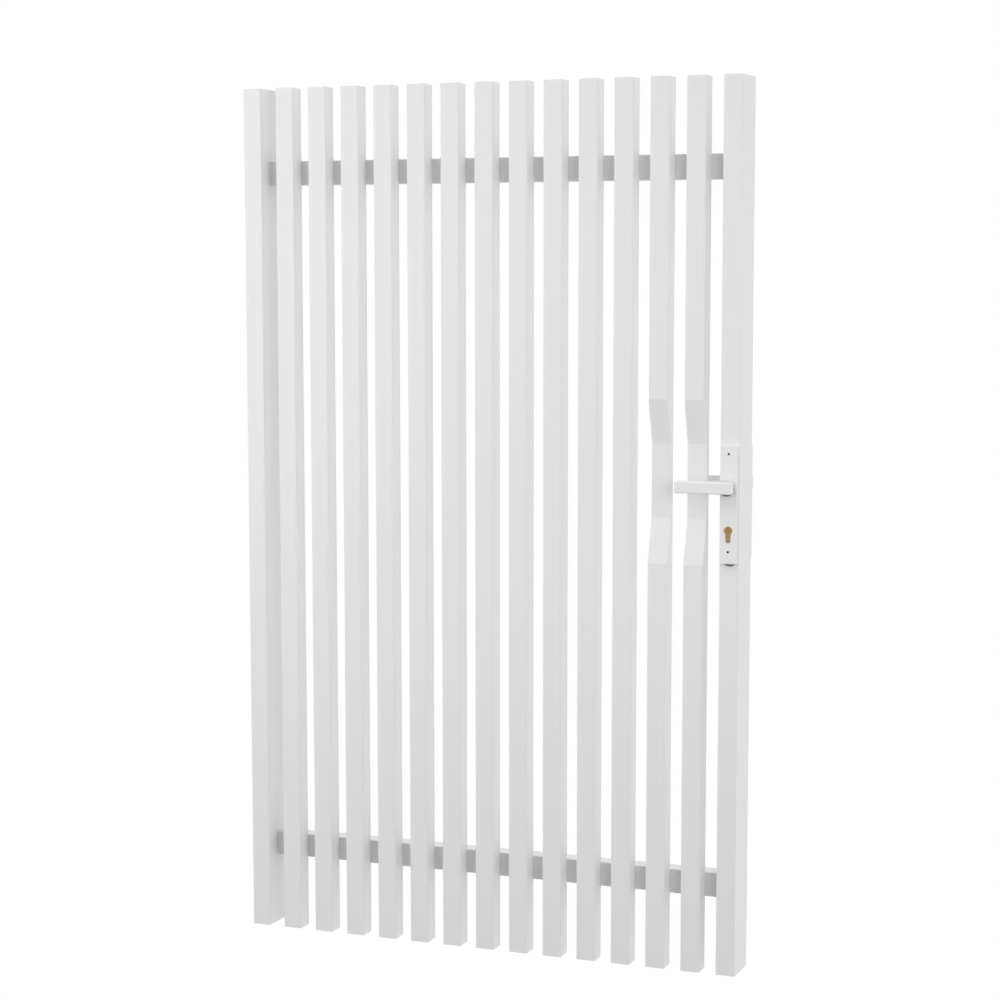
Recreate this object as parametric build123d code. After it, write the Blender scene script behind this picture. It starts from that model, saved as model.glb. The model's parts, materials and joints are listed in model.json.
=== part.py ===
from build123d import *
import os

# A welded steel pedestrian gate leaf of thirteen upright slats between two deeper stiles,
# with a lever lock on the right stile and two weld-on barrel hinges behind the left stile.
# Sizes are in millimetres. X runs from the hinge post to the lock side, Y runs backwards,
# Z runs up. The origin is the middle of the lower post bracket's flat face.

# Leaf
leaf_height = 1800
leaf_width = 1090
member_width = 40
slat_count = 13
stile_depth = 88
slat_depth = 40
rail_height = 50
rail_depth = 40
rail_inset = 150
stile_wall = 2
slat_wall = 1.5
rail_wall = 2
corner_radius = 1.5
cap_thickness = 2

# Hand recess in the two slats behind the lever
recessed_slats = (12, 13)
recess_depth = 25
recess_flat = 150
recess_slope = 90
recess_above_handle = 6
recess_overrun = 10

# Lever handle
handle_above_bottom = 994
lever_reach = 104
lever_heel = 12
lever_height = 24
lever_depth = 22
lever_corner = 3
lever_rim = 3
neck_diameter = 18
neck_length = 7
neck_gap = 0.1
spindle_side = 8
spindle_seat = 12
stile_bore = 16

# Profile cylinder
barrel_below_handle = 86
barrel_diameter = 17
profile_height = 33
stem_width = 10
plate_profile_gap = 0.25
stile_profile_gap = 0.5
plug_diameter = 13
plug_groove = 0.3
keyway_width = 1.2
keyway_height = 8
keyway_depth = 26

# Lock plates: a plain one in front and a thicker shield on the outside
plate_width = 35
plate_corner = 1.5
plate_rim = 1.2
front_plate_thickness = 10
front_plate_above_handle = 82.5
front_plate_below_barrel = 66.5
back_plate_thickness = 16
back_plate_above_handle = 78.5
back_plate_below_barrel = 65.5
screw_hole = 5.2
screw_head = 9.4
screw_from_top = 16
screw_from_bottom = 24
blind_hole_end = 3

# Hinges
bracket_height = 140
bracket_width = 32
bracket_thickness = 5
bracket_corner = 4
bracket_hole = 9
bracket_hole_spacing = 112
knuckle_diameter = 20
knuckle_length = 40
knuckle_roof = 4
knuckle_stand_off = 3
web_width = 12
tab_thickness = 8
tab_sink = 2
tab_width = 26
tab_past_back = 4
pin_diameter = 12
pin_gap = 0.08
pin_end_gap = 1
washer_thickness = 2
washer_gap = 0.3

# Places worked out from the sizes
slat_gap = (leaf_width - (slat_count + 2) * member_width) / (slat_count + 1)
pitch = member_width + slat_gap
axis_x = bracket_thickness + knuckle_stand_off + knuckle_diameter / 2
leaf_left = axis_x + knuckle_diameter / 2 - tab_sink + tab_thickness
leaf_front = -stile_depth
leaf_bottom = -(rail_inset + rail_height / 2)
leaf_top = leaf_bottom + leaf_height
upper_hinge_z = leaf_height - 2 * rail_inset - rail_height
lock_left = leaf_left + leaf_width - member_width
lock_x = lock_left + member_width / 2
handle_z = leaf_bottom + handle_above_bottom
barrel_z = handle_z - barrel_below_handle
upper_screw_z = handle_z + front_plate_above_handle - screw_from_top
lower_screw_z = barrel_z - front_plate_below_barrel + screw_from_bottom
recess_z = handle_z + recess_above_handle
rail_front = leaf_front + slat_depth
tube_bottom = leaf_bottom + cap_thickness
tube_length = leaf_height - 2 * cap_thickness

os.makedirs("parts", exist_ok=True)


def save(shape, node):
    export_step(shape, f"parts/{node}.step")


def member_place(index, depth):
    return Pos(leaf_left + index * pitch + member_width / 2, leaf_front + depth / 2)


# Upright rounded rectangular tube, its front on the leaf's front plane
def upright(index, depth, wall):
    outline = RectangleRounded(member_width, depth, corner_radius)
    bore = Rectangle(member_width - 2 * wall, depth - 2 * wall)
    tube = extrude(outline - bore, amount=tube_length)
    return member_place(index, depth) * Pos(0, 0, tube_bottom) * tube


# Side view of the hand recess, carried on past the front so that it cuts cleanly
def recess_side():
    near = leaf_front - recess_overrun
    far = leaf_front + recess_depth
    half_flat = recess_flat / 2
    half_mouth = half_flat + recess_slope * (recess_depth + recess_overrun) / recess_depth
    return Polygon(
        (near, recess_z - half_mouth),
        (far, recess_z - half_flat),
        (far, recess_z + half_flat),
        (near, recess_z + half_mouth),
        align=None,
    )


# Slat whose front wall steps back in a shallow tray, with the same wall all round
def recessed_upright(index):
    place = member_place(index, slat_depth) * Pos(0, 0, tube_bottom)
    outline = RectangleRounded(member_width, slat_depth, corner_radius)
    bore = Rectangle(member_width - 2 * slat_wall, slat_depth - 2 * slat_wall)
    left_plane = Plane.YZ.offset(leaf_left + index * pitch)
    tray = extrude(left_plane * recess_side(), amount=member_width)
    tray_back = offset(recess_side(), amount=slat_wall, kind=Kind.INTERSECTION)
    kept = extrude(left_plane * tray_back, amount=member_width)
    outside = place * extrude(outline, amount=tube_length) - tray
    inside = place * extrude(bore, amount=tube_length) - kept
    return outside - inside


# Flat plates that close the tube ends
def end_caps(indices, depth, bottom):
    outline = RectangleRounded(member_width, depth, corner_radius)
    cap = extrude(outline, amount=cap_thickness)
    return Compound([member_place(i, depth) * Pos(0, 0, bottom) * cap for i in indices])


def rail(bottom):
    left = leaf_left + member_width
    outline = RectangleRounded(rail_depth, rail_height, corner_radius)
    bore = Rectangle(rail_depth - 2 * rail_wall, rail_height - 2 * rail_wall)
    side = Pos(rail_front + rail_depth / 2, bottom + rail_height / 2) * (outline - bore)
    return extrude(Plane.YZ.offset(left) * side, amount=lock_left - left)


# A flat outline in X and Z, made solid from y_back towards the front
def forward(outline, y_back, length):
    return extrude(Plane.XZ.offset(-y_back) * outline, amount=length)


def to_back(shape):
    return mirror(shape, about=Plane.XZ.offset(stile_depth / 2))


# Round barrel over a narrow stem with a round foot
def lock_profile(gap):
    foot = stem_width / 2 + gap
    foot_drop = profile_height - barrel_diameter / 2 - stem_width / 2
    outline = Circle(barrel_diameter / 2 + gap)
    outline += Pos(0, -foot_drop / 2) * Rectangle(2 * foot, foot_drop)
    outline += Pos(0, -foot_drop) * Circle(foot)
    return Pos(lock_x, barrel_z) * outline


def lock_stile():
    stile = upright(slat_count + 1, stile_depth, stile_wall)
    stile -= forward(lock_profile(stile_profile_gap), 0, stile_depth)
    stile -= forward(Pos(lock_x, handle_z) * Circle(stile_bore / 2), 0, stile_depth)
    for z in (lower_screw_z, upper_screw_z):
        stile -= forward(Pos(lock_x, z) * Circle(screw_hole / 2), 0, stile_depth)
    return stile


# Long plate with a soft rim, bored for the neck and for the profile cylinder
def plain_lock_plate(thickness, above_handle, below_barrel):
    length = above_handle + barrel_below_handle + below_barrel
    middle = Pos(lock_x, barrel_z - below_barrel + length / 2)
    outline = middle * RectangleRounded(plate_width, length, plate_corner)
    plate = forward(outline, leaf_front, thickness)
    plate = fillet(plate.faces().sort_by(Axis.Y)[0].edges(), plate_rim)
    neck_hole = Pos(lock_x, handle_z) * Circle(neck_diameter / 2 + neck_gap)
    plate -= forward(neck_hole, leaf_front, thickness)
    plate -= forward(lock_profile(plate_profile_gap), leaf_front, thickness)
    return plate


def front_lock_plate():
    thickness = front_plate_thickness
    plate = plain_lock_plate(thickness, front_plate_above_handle, front_plate_below_barrel)
    cone = (screw_head - screw_hole) / 2
    for z in (lower_screw_z, upper_screw_z):
        place = Pos(lock_x, leaf_front, z) * Rot(90, 0, 0)
        plate -= place * Pos(0, 0, thickness / 2) * Cylinder(screw_hole / 2, thickness)
        sink = Cone(screw_hole / 2, screw_head / 2, cone)
        plate -= place * Pos(0, 0, thickness - cone / 2) * sink
    return plate


# The outside shield takes the screws in blind holes, so its face stays closed
def back_lock_plate():
    thickness = back_plate_thickness
    plate = plain_lock_plate(thickness, back_plate_above_handle, back_plate_below_barrel)
    for z in (lower_screw_z, upper_screw_z):
        hole = Pos(lock_x, z) * Circle(screw_hole / 2)
        plate -= forward(hole, leaf_front, thickness - blind_hole_end)
    return to_back(plate)


# Cylinder through both plates, with a ring round each plug and a keyway in each end
def lock_cylinder():
    length = stile_depth + front_plate_thickness + back_plate_thickness
    body = forward(lock_profile(0), back_plate_thickness, length)
    plug = Circle(plug_diameter / 2)
    ring = Pos(lock_x, barrel_z) * (plug - Circle(plug_diameter / 2 - plug_groove))
    keyway = Pos(lock_x, barrel_z) * Rectangle(keyway_width, keyway_height)
    for cut, depth in ((ring, plug_groove), (keyway, keyway_depth)):
        body -= forward(cut, back_plate_thickness, depth)
        body -= forward(cut, leaf_front - front_plate_thickness + depth, depth)
    return body


# Straight square-edged grip with a soft outer side, on a round neck through its plate
def lever(thickness):
    length = lever_reach + lever_heel
    grip_back = leaf_front - thickness - neck_length
    middle = Pos(lock_x + (lever_heel - lever_reach) / 2, handle_z)
    outline = RectangleRounded(length, lever_height, lever_corner)
    grip = forward(middle * outline, grip_back, lever_depth)
    grip = fillet(grip.faces().sort_by(Axis.Y)[0].edges(), lever_rim)
    neck = Pos(lock_x, handle_z) * Circle(neck_diameter / 2)
    handle = grip + forward(neck, leaf_front, thickness + neck_length)
    seat = Pos(lock_x, handle_z) * Rectangle(spindle_side, spindle_side)
    return handle - forward(seat, leaf_front, spindle_seat)


def spindle():
    side = Pos(lock_x, handle_z) * Rectangle(spindle_side, spindle_side)
    return forward(side, spindle_seat, stile_depth + 2 * spindle_seat)


def upright_rod(radius, bottom, length):
    return Pos(axis_x, 0, bottom + length / 2) * Cylinder(radius, length)


# Flat plate that bolts to the post, with a web that carries the lower knuckle
def post_bracket(z):
    outline = RectangleRounded(bracket_width, bracket_height, bracket_corner)
    for side in (-1, 1):
        outline -= Pos(0, side * bracket_hole_spacing / 2) * Circle(bracket_hole / 2)
    plate = Pos(0, 0, z) * extrude(Plane.YZ * outline, amount=bracket_thickness)
    bottom = z - washer_thickness / 2 - knuckle_length
    web = Box(axis_x, web_width, knuckle_length, align=(Align.MIN, Align.CENTER, Align.MIN))
    plate += Pos(0, 0, bottom) * web
    plate += upright_rod(knuckle_diameter / 2, bottom, knuckle_length)
    return plate - upright_rod(pin_diameter / 2, bottom, knuckle_length)


def hinge_pin(z):
    bottom = z - washer_thickness / 2 - knuckle_length
    bore_top = z + washer_thickness / 2 + washer_gap + knuckle_length - knuckle_roof
    return upright_rod(pin_diameter / 2, bottom, bore_top - pin_end_gap - bottom)


def hinge_washer(z):
    ring = Circle(knuckle_diameter / 2) - Circle(pin_diameter / 2 + pin_gap)
    return Pos(axis_x, 0, z - washer_thickness / 2) * extrude(ring, amount=washer_thickness)


# Upper knuckle on a tab that is welded to the stile's outer side
def hinge_tab(z):
    bottom = z + washer_thickness / 2 + washer_gap
    tab = Box(tab_thickness, tab_width, knuckle_length, align=(Align.MAX, Align.MAX, Align.MIN))
    knuckle = Pos(leaf_left, tab_past_back, bottom) * tab
    knuckle += upright_rod(knuckle_diameter / 2, bottom, knuckle_length)
    return knuckle - upright_rod(pin_diameter / 2 + pin_gap, bottom, knuckle_length - knuckle_roof)


slat_indices = range(1, slat_count + 1)
stile_indices = (0, slat_count + 1)

save(upright(0, stile_depth, stile_wall), "hinge_stile")
save(lock_stile(), "lock_stile")
for index in slat_indices:
    if index in recessed_slats:
        save(recessed_upright(index), f"slat_{index:02d}")
    else:
        save(upright(index, slat_depth, slat_wall), f"slat_{index:02d}")
save(rail(leaf_bottom + rail_inset), "bottom_rail")
save(rail(leaf_top - rail_inset - rail_height), "top_rail")
save(end_caps(slat_indices, slat_depth, leaf_bottom), "slat_bottom_caps")
save(end_caps(slat_indices, slat_depth, leaf_top - cap_thickness), "slat_top_caps")
save(end_caps(stile_indices, stile_depth, leaf_bottom), "stile_bottom_caps")
save(end_caps(stile_indices, stile_depth, leaf_top - cap_thickness), "stile_top_caps")

save(front_lock_plate(), "front_lock_plate")
save(back_lock_plate(), "back_lock_plate")
save(lock_cylinder(), "lock_cylinder")
save(lever(front_plate_thickness), "front_lever")
save(to_back(lever(back_plate_thickness)), "back_lever")
save(spindle(), "spindle")

for name, z in (("lower", 0), ("upper", upper_hinge_z)):
    save(post_bracket(z), f"{name}_post_bracket")
    save(hinge_pin(z), f"{name}_hinge_pin")
    save(hinge_washer(z), f"{name}_hinge_washer")
    save(hinge_tab(z), f"{name}_hinge_tab")
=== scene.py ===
import json
import math

import bpy
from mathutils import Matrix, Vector


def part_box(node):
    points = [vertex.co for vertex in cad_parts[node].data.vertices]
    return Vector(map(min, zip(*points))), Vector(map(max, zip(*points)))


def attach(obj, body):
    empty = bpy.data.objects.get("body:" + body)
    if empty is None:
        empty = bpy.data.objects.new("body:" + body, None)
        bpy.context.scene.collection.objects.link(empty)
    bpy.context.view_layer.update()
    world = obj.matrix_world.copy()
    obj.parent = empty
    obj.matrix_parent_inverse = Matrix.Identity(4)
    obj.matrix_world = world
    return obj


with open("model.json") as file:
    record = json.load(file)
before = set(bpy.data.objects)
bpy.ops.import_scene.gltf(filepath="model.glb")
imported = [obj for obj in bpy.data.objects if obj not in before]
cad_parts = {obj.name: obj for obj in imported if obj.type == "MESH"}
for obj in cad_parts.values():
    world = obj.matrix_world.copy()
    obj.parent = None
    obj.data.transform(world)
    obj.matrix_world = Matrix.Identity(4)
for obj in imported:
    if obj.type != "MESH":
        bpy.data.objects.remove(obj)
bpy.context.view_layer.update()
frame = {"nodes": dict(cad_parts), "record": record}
print("frame loaded,", len(frame["nodes"]), "nodes")

# where the frame's parts are, all in metres
hingeStileLow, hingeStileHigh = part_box("hinge_stile")
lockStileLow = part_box("lock_stile")[0]
topRailLow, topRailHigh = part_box("top_rail")
bottomRailLow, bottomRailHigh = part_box("bottom_rail")
frontPlateLow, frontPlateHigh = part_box("front_lock_plate")
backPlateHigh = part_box("back_lock_plate")[1]
spindleLow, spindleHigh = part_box("spindle")
lockX = (frontPlateLow.x + frontPlateHigh.x) / 2
handleZ = (spindleLow.z + spindleHigh.z) / 2
slatNames = sorted(name for name in frame["nodes"] if name[:5] == "slat_" and name[5:].isdigit())


# a turn that lays a cylinder along Y, the angles for rounding and smoothing, and the least share of a
# face's normal along an axis for it to count as facing that way
alongY = (math.pi / 2, 0, 0)
roundingAngle = math.radians(40)
smoothAngle = math.radians(30)
squareOn = 0.9


# small helpers, used on every new piece

def deselectAll():
    bpy.ops.object.select_all(action="DESELECT")


def pickOnly(piece):
    deselectAll()
    piece.select_set(True)
    bpy.context.view_layer.objects.active = piece


def namedPiece(name):
    piece = bpy.context.active_object
    piece.name = name
    piece.data.name = name
    return piece


def settle(piece):
    pickOnly(piece)
    bpy.ops.object.transform_apply(location=True, rotation=True, scale=True)


# selects the wanted faces and goes into edit mode
def editFaces(piece, wanted):
    pickOnly(piece)
    for part in (piece.data.vertices, piece.data.edges, piece.data.polygons):
        part.foreach_set("select", [False] * len(part))
    for face in piece.data.polygons:
        if wanted(face):
            face.select = True
            for corner in face.vertices:
                piece.data.vertices[corner].select = True
    bpy.context.tool_settings.mesh_select_mode = (False, False, True)
    bpy.ops.object.mode_set(mode="EDIT")


def leaveEdit():
    bpy.ops.object.mode_set(mode="OBJECT")


def outwardNormals(piece):
    pickOnly(piece)
    bpy.ops.object.mode_set(mode="EDIT")
    bpy.ops.mesh.select_all(action="SELECT")
    bpy.ops.mesh.normals_make_consistent(inside=False)
    leaveEdit()


def applyModifier(piece, kind, **values):
    pickOnly(piece)
    modifier = piece.modifiers.new(kind.lower(), kind)
    for key, value in values.items():
        setattr(modifier, key, value)
    bpy.ops.object.modifier_apply(modifier=modifier.name)


def roundEdges(piece, width, steps):
    applyModifier(
        piece, "BEVEL", width=width, segments=steps, limit_method="ANGLE", angle_limit=roundingAngle)


def smoothOutside(piece, angle):
    outwardNormals(piece)
    bpy.ops.object.shade_smooth_by_angle(angle=angle)


def copyOf(piece, name):
    twin = piece.copy()
    twin.data = piece.data.copy()
    twin.name = name
    bpy.context.collection.objects.link(twin)
    return twin


def joinPieces(parts, name):
    deselectAll()
    for part in parts:
        part.select_set(True)
    bpy.context.view_layer.objects.active = parts[0]
    bpy.ops.object.join()
    return namedPiece(name)


# shader node helpers

def addNode(tree, kind, x, y, **values):
    node = tree.nodes.new(kind)
    node.location = (x, y)
    for key, value in values.items():
        setattr(node, key, value)
    return node


def setInputs(node, **values):
    for key, value in values.items():
        node.inputs[key.replace("_", " ")].default_value = value


def groupSocket(tree, name, direction, kind, value=None):
    socket = tree.interface.new_socket(name=name, in_out=direction, socket_type="NodeSocket" + kind)
    if value is not None:
        socket.default_value = value


# fine orange peel, a slow drift of shade and a slight change of gloss, as a sprayed coat has
coatGrain = {
    "peelDetail": 1.5,
    "peelRoughness": 0.45,
    "peelDepth": 0.0003,
    "driftScale": 4.0,
    "driftDetail": 3.0,
    "driftRoughness": 0.55,
    "middleNoise": 0.5,
    "lowNoise": 0.3,
    "highNoise": 0.7,
}


def makeCoatSkin():
    g = coatGrain
    tree = bpy.data.node_groups.new("coatSkin", "ShaderNodeTree")
    groupSocket(tree, "Colour", "INPUT", "Color", (0.8, 0.8, 0.8, 1))
    groupSocket(tree, "Peel Scale", "INPUT", "Float", 550.0)
    groupSocket(tree, "Peel Strength", "INPUT", "Float", 0.06)
    groupSocket(tree, "Drift", "INPUT", "Float", 0.02)
    groupSocket(tree, "Gloss Low", "INPUT", "Float", 0.4)
    groupSocket(tree, "Gloss High", "INPUT", "Float", 0.5)
    groupSocket(tree, "Colour", "OUTPUT", "Color")
    groupSocket(tree, "Roughness", "OUTPUT", "Float")
    groupSocket(tree, "Normal", "OUTPUT", "Vector")
    taken = addNode(tree, "NodeGroupInput", -900, 0)
    given = addNode(tree, "NodeGroupOutput", 600, 0)
    place = addNode(tree, "ShaderNodeTexCoord", -900, -300)
    peel = addNode(tree, "ShaderNodeTexNoise", -500, -300)
    setInputs(peel, Detail=g["peelDetail"], Roughness=g["peelRoughness"])
    bump = addNode(tree, "ShaderNodeBump", -100, -300)
    setInputs(bump, Distance=g["peelDepth"])
    slow = addNode(tree, "ShaderNodeTexNoise", -500, 100)
    setInputs(slow, Scale=g["driftScale"], Detail=g["driftDetail"], Roughness=g["driftRoughness"])
    darker = addNode(tree, "ShaderNodeMath", -300, 100, operation="SUBTRACT")
    darker.inputs[1].default_value = g["middleNoise"]
    drift = addNode(tree, "ShaderNodeMath", -100, 100, operation="MULTIPLY_ADD")
    drift.inputs[2].default_value = 1.0
    tinted = addNode(tree, "ShaderNodeVectorMath", 200, 100, operation="SCALE")
    gloss = addNode(tree, "ShaderNodeMapRange", 200, -150)
    setInputs(gloss, From_Min=g["lowNoise"], From_Max=g["highNoise"])
    link = tree.links.new
    link(place.outputs["Object"], peel.inputs["Vector"])
    link(place.outputs["Object"], slow.inputs["Vector"])
    link(taken.outputs["Peel Scale"], peel.inputs["Scale"])
    link(taken.outputs["Peel Strength"], bump.inputs["Strength"])
    link(peel.outputs["Fac"], bump.inputs["Height"])
    link(slow.outputs["Fac"], darker.inputs[0])
    link(darker.outputs[0], drift.inputs[0])
    link(taken.outputs["Drift"], drift.inputs[1])
    link(taken.outputs["Colour"], tinted.inputs[0])
    link(drift.outputs[0], tinted.inputs["Scale"])
    link(slow.outputs["Fac"], gloss.inputs["Value"])
    link(taken.outputs["Gloss Low"], gloss.inputs["To Min"])
    link(taken.outputs["Gloss High"], gloss.inputs["To Max"])
    link(tinted.outputs[0], given.inputs["Colour"])
    link(gloss.outputs["Result"], given.inputs["Roughness"])
    link(bump.outputs["Normal"], given.inputs["Normal"])
    return tree


# fine lines left by a tool or a draw, stretched along one direction, with a little uneven tone
lineGrain = {
    "lineScale": 2500.0,
    "lineDetail": 2.0,
    "lineRoughness": 0.6,
    "lineDepth": 0.0001,
    "cloudScale": 160.0,
    "cloudDetail": 4.0,
    "cloudRoughness": 0.6,
    "lowNoise": 0.3,
    "highNoise": 0.7,
}


def makeToolLines():
    g = lineGrain
    tree = bpy.data.node_groups.new("toolLines", "ShaderNodeTree")
    groupSocket(tree, "Colour", "INPUT", "Color", (0.6, 0.6, 0.6, 1))
    groupSocket(tree, "Shade", "INPUT", "Color", (0.4, 0.4, 0.4, 1))
    groupSocket(tree, "Stretch", "INPUT", "Vector", (1.0, 1.0, 0.02))
    groupSocket(tree, "Strength", "INPUT", "Float", 0.2)
    groupSocket(tree, "Gloss Low", "INPUT", "Float", 0.3)
    groupSocket(tree, "Gloss High", "INPUT", "Float", 0.5)
    groupSocket(tree, "Colour", "OUTPUT", "Color")
    groupSocket(tree, "Roughness", "OUTPUT", "Float")
    groupSocket(tree, "Normal", "OUTPUT", "Vector")
    taken = addNode(tree, "NodeGroupInput", -900, 0)
    given = addNode(tree, "NodeGroupOutput", 600, 0)
    place = addNode(tree, "ShaderNodeTexCoord", -900, -300)
    stretch = addNode(tree, "ShaderNodeVectorMath", -700, -300, operation="MULTIPLY")
    lines = addNode(tree, "ShaderNodeTexNoise", -500, -300)
    setInputs(lines, Scale=g["lineScale"], Detail=g["lineDetail"], Roughness=g["lineRoughness"])
    cloud = addNode(tree, "ShaderNodeTexNoise", -500, 100)
    setInputs(cloud, Scale=g["cloudScale"], Detail=g["cloudDetail"], Roughness=g["cloudRoughness"])
    # on this node, inputs 6 and 7 are the two colours and output 2 is their mix
    mix = addNode(tree, "ShaderNodeMix", 100, 150, data_type="RGBA")
    bump = addNode(tree, "ShaderNodeBump", -100, -300)
    setInputs(bump, Distance=g["lineDepth"])
    gloss = addNode(tree, "ShaderNodeMapRange", 200, -150)
    setInputs(gloss, From_Min=g["lowNoise"], From_Max=g["highNoise"])
    link = tree.links.new
    link(place.outputs["Object"], stretch.inputs[0])
    link(taken.outputs["Stretch"], stretch.inputs[1])
    link(stretch.outputs[0], lines.inputs["Vector"])
    link(place.outputs["Object"], cloud.inputs["Vector"])
    link(cloud.outputs["Fac"], mix.inputs["Factor"])
    link(taken.outputs["Colour"], mix.inputs[6])
    link(taken.outputs["Shade"], mix.inputs[7])
    link(lines.outputs["Fac"], bump.inputs["Height"])
    link(taken.outputs["Strength"], bump.inputs["Strength"])
    link(lines.outputs["Fac"], gloss.inputs["Value"])
    link(taken.outputs["Gloss Low"], gloss.inputs["To Min"])
    link(taken.outputs["Gloss High"], gloss.inputs["To Max"])
    link(mix.outputs[2], given.inputs["Colour"])
    link(gloss.outputs["Result"], given.inputs["Roughness"])
    link(bump.outputs["Normal"], given.inputs["Normal"])
    return tree


coatSkin = makeCoatSkin()
toolLines = makeToolLines()


# a material whose colour, roughness and normal come from one of the two groups
def makeFinish(name, skin, groupValues, shaderValues):
    material = bpy.data.materials.new(name)
    material.use_nodes = True
    tree = material.node_tree
    shader = tree.nodes["Principled BSDF"]
    effect = addNode(tree, "ShaderNodeGroup", -400, 100)
    effect.node_tree = skin
    for key, value in groupValues.items():
        effect.inputs[key].default_value = value
    for key, value in shaderValues.items():
        shader.inputs[key].default_value = value
    tree.links.new(effect.outputs["Colour"], shader.inputs["Base Color"])
    tree.links.new(effect.outputs["Roughness"], shader.inputs["Roughness"])
    tree.links.new(effect.outputs["Normal"], shader.inputs["Normal"])
    return material


leafCoat = makeFinish(
    "leafPowderCoat", coatSkin,
    {"Colour": (0.80, 0.80, 0.80, 1), "Peel Scale": 520.0, "Peel Strength": 0.07, "Drift": 0.012,
     "Gloss Low": 0.46, "Gloss High": 0.56},
    {"Metallic": 0.0, "IOR": 1.5, "Specular IOR Level": 0.4},
)
handleCoat = makeFinish(
    "handlePowderCoat", coatSkin,
    {"Colour": (0.81, 0.81, 0.81, 1), "Peel Scale": 900.0, "Peel Strength": 0.05, "Drift": 0.008,
     "Gloss Low": 0.42, "Gloss High": 0.50},
    {"Metallic": 0.0, "IOR": 1.5, "Specular IOR Level": 0.4},
)
satinBrass = makeFinish(
    "satinBrass", toolLines,
    {"Colour": (0.50, 0.32, 0.125, 1), "Shade": (0.42, 0.265, 0.10, 1), "Stretch": (1.0, 0.03, 1.0),
     "Strength": 0.25, "Gloss Low": 0.42, "Gloss High": 0.58},
    {"Metallic": 0.35},
)
zincSteel = makeFinish(
    "zincSteel", toolLines,
    {"Colour": (0.58, 0.59, 0.60, 1), "Shade": (0.46, 0.47, 0.49, 1), "Stretch": (1.0, 1.0, 0.03),
     "Strength": 0.3, "Gloss Low": 0.30, "Gloss High": 0.46},
    {"Metallic": 1.0},
)
# near-black socket finish: bare steel, painted darker than bare steel to stand for the shade deep in a
# hex recess
socketShadeSteel = makeFinish(
    "paintedShadeSocket", toolLines,
    {"Colour": (0.012, 0.012, 0.013, 1), "Shade": (0.006, 0.006, 0.006, 1), "Stretch": (1.0, 0.05, 1.0),
     "Strength": 0.2, "Gloss Low": 0.6, "Gloss High": 0.8},
    {"Metallic": 0.0, "Specular IOR Level": 0.1},
)
# dark grey finish for the shade collars and the stile's shade plug: its darkness is painted shade
paintedShadeNylon = makeFinish(
    "paintedShadeNylon", coatSkin,
    {"Colour": (0.16, 0.16, 0.162, 1), "Peel Scale": 1400.0, "Peel Strength": 0.08, "Drift": 0.05,
     "Gloss Low": 0.45, "Gloss High": 0.6},
    {"Metallic": 0.0, "IOR": 1.5, "Specular IOR Level": 0.35},
)
finishOf = {"white_coat": leafCoat, "handle_coat": handleCoat, "brass": satinBrass, "steel": zincSteel}

for part in frame["record"]["subparts"]:
    node = frame["nodes"][part["node"]]
    node.data.materials.clear()
    node.data.materials.append(finishOf[part["material_slot"]])
print("finishes placed on the frame's nodes")


# countersunk screws that hold the front lock plate, with a hexagon socket painted near-black: bare
# steel darkened with painted shade of the deep recess
plateScrew = {
    "headRadius": 0.00455,
    "shankRadius": 0.0025,
    "headDepth": 0.0021,
    "belowFace": 0.00005,
    "socketAcross": 0.0042,
    "socketDepth": 0.0030,
    "rim": 0.00012,
    "fromTop": 0.016,
    "fromBottom": 0.024,
    "endGap": 0.005,
    "sides": 48,
    "rimSteps": 2,
}


# the cutter stands half outside the screw, so it is twice as deep as the socket
def hexSocket(screw, place, across, depth, turn):
    deselectAll()
    bpy.ops.mesh.primitive_cylinder_add(
        vertices=6, radius=across / math.sqrt(3), depth=2 * depth, location=place, rotation=turn)
    cutter = namedPiece("socketCutter")
    settle(cutter)
    # the cutter hands its faces the near-black socket finish, so the socket walls carry painted shade
    cutter.data.materials.append(handleCoat)
    cutter.data.materials.append(socketShadeSteel)
    for face in cutter.data.polygons:
        face.material_index = 1
    applyModifier(screw, "BOOLEAN", operation="DIFFERENCE", solver="EXACT", object=cutter)
    bpy.data.objects.remove(cutter)


def makePlateScrew(name, height):
    s = plateScrew
    face = frontPlateLow.y + s["belowFace"]
    deselectAll()
    bpy.ops.mesh.primitive_cylinder_add(
        vertices=s["sides"], radius=s["headRadius"], depth=s["headDepth"],
        location=(lockX, face + s["headDepth"] / 2, height), rotation=alongY)
    screw = namedPiece(name)
    settle(screw)
    screw.data.materials.append(handleCoat)
    screw.data.materials.append(socketShadeSteel)
    editFaces(screw, lambda f: f.normal.y > squareOn)
    shrink = s["shankRadius"] / s["headRadius"]
    bpy.ops.transform.resize(value=(shrink, 1, shrink), center_override=(lockX, face, height))
    shankLength = backPlateHigh.y - s["endGap"] - face - s["headDepth"]
    bpy.ops.mesh.extrude_region_move(TRANSFORM_OT_translate={"value": (0, shankLength, 0)})
    leaveEdit()
    hexSocket(screw, (lockX, face, height), s["socketAcross"], s["socketDepth"], alongY)
    roundEdges(screw, s["rim"], s["rimSteps"])
    smoothOutside(screw, smoothAngle)
    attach(screw, "leaf")


makePlateScrew("lower_plate_screw", frontPlateLow.z + plateScrew["fromBottom"])
makePlateScrew("upper_plate_screw", frontPlateHigh.z - plateScrew["fromTop"])
print("lock plate screws done")


# small set screw under each lever's neck
setScrew = {
    "radius": 0.0022,
    "proud": 0.0003,
    "length": 0.004,
    "socketAcross": 0.002,
    "socketDepth": 0.0016,
    "rim": 0.0001,
    "neckRadius": 0.009,
    "neckLength": 0.007,
    "sides": 32,
    "rimSteps": 2,
}


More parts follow.
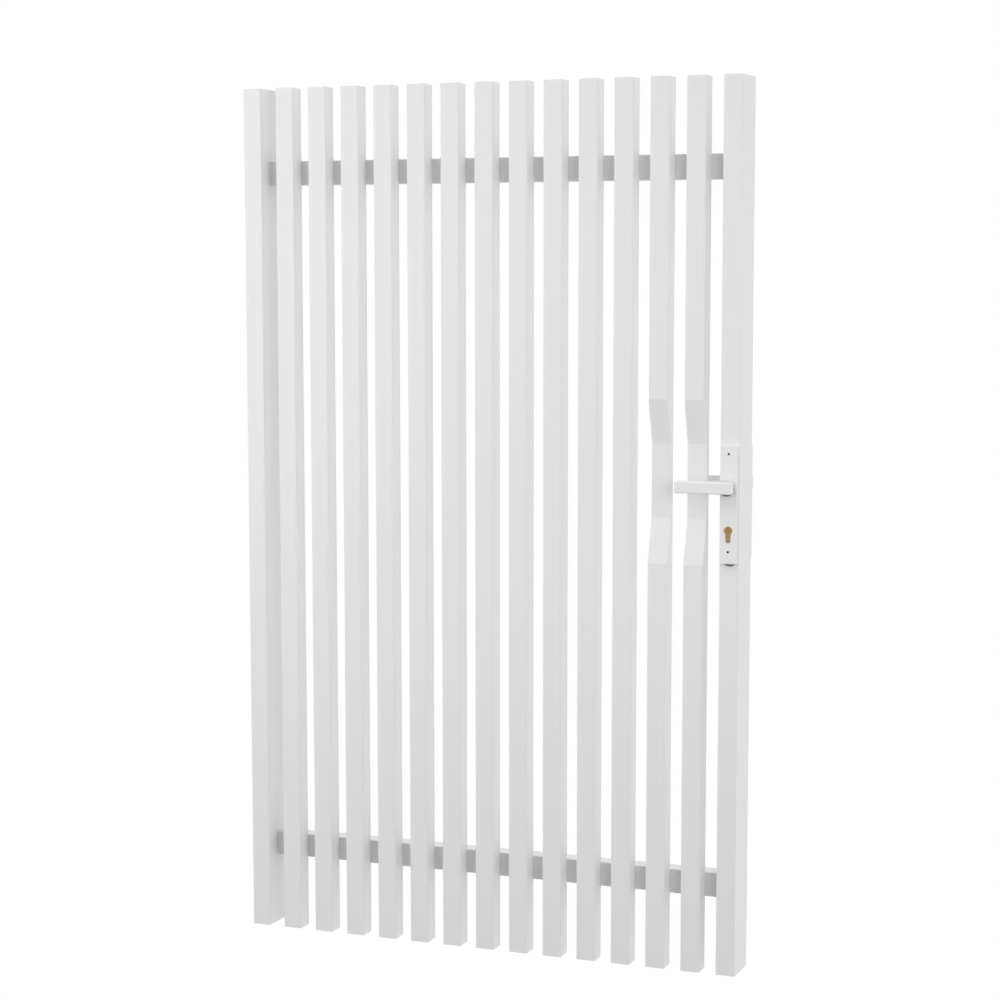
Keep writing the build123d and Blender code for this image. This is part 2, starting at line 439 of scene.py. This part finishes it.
def makeSetScrew(name, y):
    s = setScrew
    low = handleZ - s["neckRadius"] - s["proud"]
    deselectAll()
    bpy.ops.mesh.primitive_cylinder_add(
        vertices=s["sides"], radius=s["radius"], depth=s["length"],
        location=(lockX, y, low + s["length"] / 2))
    screw = namedPiece(name)
    settle(screw)
    screw.data.materials.append(zincSteel)
    screw.data.materials.append(socketShadeSteel)
    hexSocket(screw, (lockX, y, low), s["socketAcross"], s["socketDepth"], (0, 0, 0))
    roundEdges(screw, s["rim"], s["rimSteps"])
    smoothOutside(screw, smoothAngle)
    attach(screw, "handle")


makeSetScrew("front_set_screw", frontPlateLow.y - setScrew["neckLength"] / 2)
makeSetScrew("back_set_screw", backPlateHigh.y + setScrew["neckLength"] / 2)
print("set screws done")


# painted shade: a dark grey ring on each plate round the neck, set low so that only a dark crescent
# shows below the lever, standing in for the shade under the lever
shadeCollarSize = {
    "radius": 0.0138,
    "bore": 0.0091,
    "left": 0.003,
    "down": 0.0035,
    "thickness": 0.004,
    "gap": 0.00005,
    "round": 0.0006,
    "sides": 96,
    "roundSteps": 3,
}


# side is -1 for a plate that faces the front and 1 for one that faces the back
def makeShadeCollar(name, face, side):
    s = shadeCollarSize
    near = face + side * s["gap"]
    far = face + side * s["thickness"]
    length = abs(far - near)
    middle = (near + far) / 2
    deselectAll()
    bpy.ops.mesh.primitive_cylinder_add(
        vertices=s["sides"], radius=s["radius"], depth=length,
        location=(lockX - s["left"], middle, handleZ - s["down"]), rotation=alongY)
    collar = namedPiece(name)
    settle(collar)
    bpy.ops.mesh.primitive_cylinder_add(
        vertices=s["sides"], radius=s["bore"], depth=2 * length,
        location=(lockX, middle, handleZ), rotation=alongY)
    core = namedPiece("ringCore")
    settle(core)
    # the bored ring stays dark grey all round, though only its lower edge is meant to show as painted
    # shade
    applyModifier(collar, "BOOLEAN", operation="DIFFERENCE", solver="EXACT", object=core)
    bpy.data.objects.remove(core)
    roundEdges(collar, s["round"], s["roundSteps"])
    smoothOutside(collar, smoothAngle)
    collar.data.materials.append(paintedShadeNylon)
    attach(collar, "leaf")


makeShadeCollar("front_shade_collar", frontPlateLow.y, -1)
makeShadeCollar("back_shade_collar", backPlateHigh.y, 1)
print("neck collars done")


# painted shade: a dark grey disc with a raised face on the lock stile, cut off just below the front
# plate's lower edge so that only a dark crescent shows there, standing in for the shade under the plate
shadePlugSize = {
    "radius": 0.0170,
    "aboveEdge": 0.0114,
    "right": 0.001,
    "proud": 0.0001,
    "depth": 0.0015,
    "gap": 0.0001,
    "crownIn": 0.0008,
    "crown": 0.0003,
    "sides": 128,
}


def makeShadePlug():
    s = shadePlugSize
    front = lockStileLow.y - s["proud"]
    middle = frontPlateLow.z + s["aboveEdge"]
    deselectAll()
    bpy.ops.mesh.primitive_cylinder_add(
        vertices=s["sides"], radius=s["radius"], depth=s["depth"],
        location=(lockX + s["right"], front + s["depth"] / 2, middle), rotation=alongY)
    plug = namedPiece("stile_shade_plug")
    settle(plug)
    editFaces(plug, lambda f: f.normal.y < -squareOn)
    bpy.ops.mesh.inset(thickness=s["crownIn"])
    bpy.ops.transform.translate(value=(0, -s["crown"], 0))
    bpy.ops.mesh.select_all(action="SELECT")
    bpy.ops.mesh.bisect(
        plane_co=(lockX, front, frontPlateLow.z - s["gap"]), plane_no=(0, 0, 1),
        use_fill=True, clear_outer=True)
    leaveEdit()
    smoothOutside(plug, smoothAngle)
    plug.data.materials.append(paintedShadeNylon)
    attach(plug, "leaf")


makeShadePlug()
print("stile plug done")


# weld seams: a rippled bead is modelled once for each length and copied to each joint of that length
weldBead = {
    "radius": 0.0026,
    "ripple": 0.0021,
    "fewestRipples": 3,
    "swell": 1.10,
    "endShare": 0.55,
    "sides": 12,
    "shortBy": 0.002,
    "smoothDegrees": 50,
}
beadOfLength = {}


def modelBead(length):
    w = weldBead
    ripples = max(w["fewestRipples"], round(length / w["ripple"]))
    step = length / (2 * ripples)
    shares = [w["endShare"]]
    shares += [w["swell"] if i % 2 else 1.0 for i in range(2 * ripples - 1)]
    shares.append(w["endShare"])
    deselectAll()
    bpy.ops.mesh.primitive_circle_add(
        vertices=w["sides"], radius=w["radius"] * shares[0], fill_type="NGON", location=(0, 0, 0))
    bead = namedPiece("bead")
    bpy.ops.object.mode_set(mode="EDIT")
    bpy.context.tool_settings.mesh_select_mode = (False, False, True)
    bpy.ops.mesh.select_all(action="SELECT")
    for i in range(1, len(shares)):
        bpy.ops.mesh.extrude_region_move(TRANSFORM_OT_translate={"value": (0, 0, step)})
        grow = shares[i] / shares[i - 1]
        bpy.ops.transform.resize(value=(grow, grow, 1), center_override=(0, 0, i * step))
    leaveEdit()
    smoothOutside(bead, math.radians(w["smoothDegrees"]))
    return bead


def placeBead(start, end):
    start = Vector(start)
    run = Vector(end) - start
    length = round(run.length, 4)
    if length not in beadOfLength:
        beadOfLength[length] = modelBead(length)
    bead = copyOf(beadOfLength[length], "seam")
    bead.rotation_mode = "QUATERNION"
    bead.rotation_quaternion = Vector((0, 0, 1)).rotation_difference(run)
    bead.location = start
    settle(bead)
    return bead


def weldSeams(name, runs, body):
    seams = joinPieces([placeBead(start, end) for start, end in runs], name)
    seams.data.materials.clear()
    seams.data.materials.append(leafCoat)
    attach(seams, body)


# behind the slats, along the rail's top and bottom, and round the rail's ends at the stiles
def railSeams(name, low, high):
    short = weldBead["shortBy"]
    clearOfSlats = 3 * short
    runs = []
    for slat in slatNames:
        slatLow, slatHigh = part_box(slat)
        for z in (low.z, high.z):
            runs.append(((slatLow.x + short, low.y, z), (slatHigh.x - short, low.y, z)))
    for x in (low.x, high.x):
        runs.append(((x, high.y, low.z + short), (x, high.y, high.z - short)))
        for z in (low.z, high.z):
            runs.append(((x, low.y + clearOfSlats, z), (x, high.y - short, z)))
    weldSeams(name, runs, "leaf")


# round the hinge tab, on the side of the hinge stile
def tabSeams(which):
    short = weldBead["shortBy"]
    tabLow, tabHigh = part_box(which + "_hinge_tab")
    stileX = hingeStileLow.x
    stileBack = hingeStileHigh.y
    runs = [((stileX, tabLow.y, tabLow.z + short), (stileX, tabLow.y, tabHigh.z - short)),
            ((stileX, stileBack, tabLow.z + short), (stileX, stileBack, tabHigh.z - short)),
            ((stileX, tabLow.y + short, tabHigh.z), (stileX, stileBack - short, tabHigh.z)),
            ((stileX, tabLow.y + short, tabLow.z), (stileX, stileBack - short, tabLow.z))]
    weldSeams(which + "_tab_welds", runs, "leaf")


# down both sides and along the bottom of the web on the post bracket's plate
bracketWeb = {"plate": 0.005, "width": 0.012, "height": 0.040}


def bracketSeams(which):
    short = weldBead["shortBy"]
    plate = bracketWeb["plate"]
    half = bracketWeb["width"] / 2
    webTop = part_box(which + "_hinge_washer")[0].z
    webLow = webTop - bracketWeb["height"]
    runs = []
    for y in (-half, half):
        runs.append(((plate, y, webLow + short), (plate, y, webTop - short)))
    runs.append(((plate, -half + short, webLow), (plate, half - short, webLow)))
    weldSeams(which + "_bracket_welds", runs, "post_brackets")


railSeams("top_rail_welds", topRailLow, topRailHigh)
railSeams("bottom_rail_welds", bottomRailLow, bottomRailHigh)
for which in ("lower", "upper"):
    tabSeams(which)
    bracketSeams(which)
for bead in beadOfLength.values():
    bpy.data.objects.remove(bead)
print("weld seams done")


# camera at the photograph's angle
cameraPlace = {
    "location": (2.3870, -4.5597, 1.2434),
    "tilt": -0.11159,
    "turn": 0.37058,
    "lens": 84.587,
    "shiftX": -0.01586,
    "shiftY": 0.03481,
    "sensor": 36,
}


def addCamera():
    c = cameraPlace
    bpy.ops.object.camera_add(location=c["location"], rotation=(math.pi / 2 + c["tilt"], 0, c["turn"]))
    camera = bpy.context.active_object
    camera.name = "camera"
    camera.data.sensor_width = c["sensor"]
    camera.data.lens = c["lens"]
    camera.data.shift_x = c["shiftX"]
    camera.data.shift_y = c["shiftY"]
    bpy.context.scene.camera = camera


# white floor, a room lit from five sides and four softboxes
# a wall's direction is where its light comes from and its length is the strength;
# a box is its angle round the gate in degrees, its height and its watts
studio = {
    "floorDrop": 0.6,
    "floorSize": 60.0,
    "floorGlow": 1.0,
    "backdropGlow": 1.0,
    "walls": ((0.61, 0, 0), (0, 0.72, 0), (0, 0, 0.36), (0, 0, -0.46), (-0.58, 0, 0.58)),
    "aim": (0.58, -0.09, 0.8),
    "distance": 3.0,
    "boxSize": 1.4,
    "boxes": ((-45, 3.2, 26), (-45, 1.2, 14), (-30, 1.2, 11), (45, 1.2, 22)),
}


def addFloor():
    s = studio
    bpy.ops.mesh.primitive_plane_add(
        size=s["floorSize"], location=(s["aim"][0], s["aim"][1], hingeStileLow.z - s["floorDrop"]))
    floor = namedPiece("studio_floor")
    floor.visible_diffuse = False
    floor.visible_glossy = False
    floor.visible_shadow = False
    paint = bpy.data.materials.new("paleFloor")
    paint.use_nodes = True
    paint.node_tree.nodes.clear()
    output = addNode(paint.node_tree, "ShaderNodeOutputMaterial", 300, 0)
    glow = addNode(paint.node_tree, "ShaderNodeEmission", 0, 0)
    setInputs(glow, Strength=s["floorGlow"])
    paint.node_tree.links.new(glow.outputs[0], output.inputs["Surface"])
    floor.data.materials.append(paint)


def addRoom():
    world = bpy.data.worlds.new("room")
    world.use_nodes = True
    tree = world.node_tree
    tree.nodes.clear()
    output = addNode(tree, "ShaderNodeOutputWorld", 600, 0)
    choose = addNode(tree, "ShaderNodeMixShader", 400, 0)
    seen = addNode(tree, "ShaderNodeLightPath", 0, 300)
    room = addNode(tree, "ShaderNodeBackground", 200, 0)
    backdrop = addNode(tree, "ShaderNodeBackground", 200, -200)
    setInputs(room, Color=(1, 1, 1, 1))
    setInputs(backdrop, Color=(1, 1, 1, 1), Strength=studio["backdropGlow"])
    place = addNode(tree, "ShaderNodeTexCoord", -600, 0)
    link = tree.links.new
    # each wall lights by how squarely it is faced
    total = None
    for number, wall in enumerate(studio["walls"]):
        facing = addNode(tree, "ShaderNodeVectorMath", -400, -200 * number, operation="DOT_PRODUCT")
        facing.inputs[1].default_value = wall
        only = addNode(tree, "ShaderNodeMath", -200, -200 * number, operation="MAXIMUM")
        only.inputs[1].default_value = 0.0
        added = addNode(tree, "ShaderNodeMath", 0, -200 * number, operation="ADD")
        added.inputs[1].default_value = 0.0
        link(place.outputs["Generated"], facing.inputs[0])
        link(facing.outputs["Value"], only.inputs[0])
        link(only.outputs[0], added.inputs[0])
        if total:
            link(total.outputs[0], added.inputs[1])
        total = added
    link(total.outputs[0], room.inputs["Strength"])
    link(seen.outputs["Is Camera Ray"], choose.inputs[0])
    link(room.outputs[0], choose.inputs[1])
    link(backdrop.outputs[0], choose.inputs[2])
    link(choose.outputs[0], output.inputs[0])
    bpy.context.scene.world = world


def addBoxes():
    s = studio
    aim = Vector(s["aim"])
    for number, (side, height, power) in enumerate(s["boxes"], 1):
        angle = math.radians(side)
        place = aim + s["distance"] * Vector((math.sin(angle), -math.cos(angle), 0))
        place.z = height
        bpy.ops.object.light_add(type="AREA", location=place)
        box = bpy.context.active_object
        box.name = f"softbox{number}"
        box.rotation_mode = "QUATERNION"
        box.rotation_quaternion = (aim - place).to_track_quat("-Z", "Y")
        box.data.shape = "SQUARE"
        box.data.size = s["boxSize"]
        box.data.energy = power


addCamera()
addFloor()
addRoom()
addBoxes()
bpy.context.scene.view_settings.view_transform = "Standard"
print("camera and studio done")
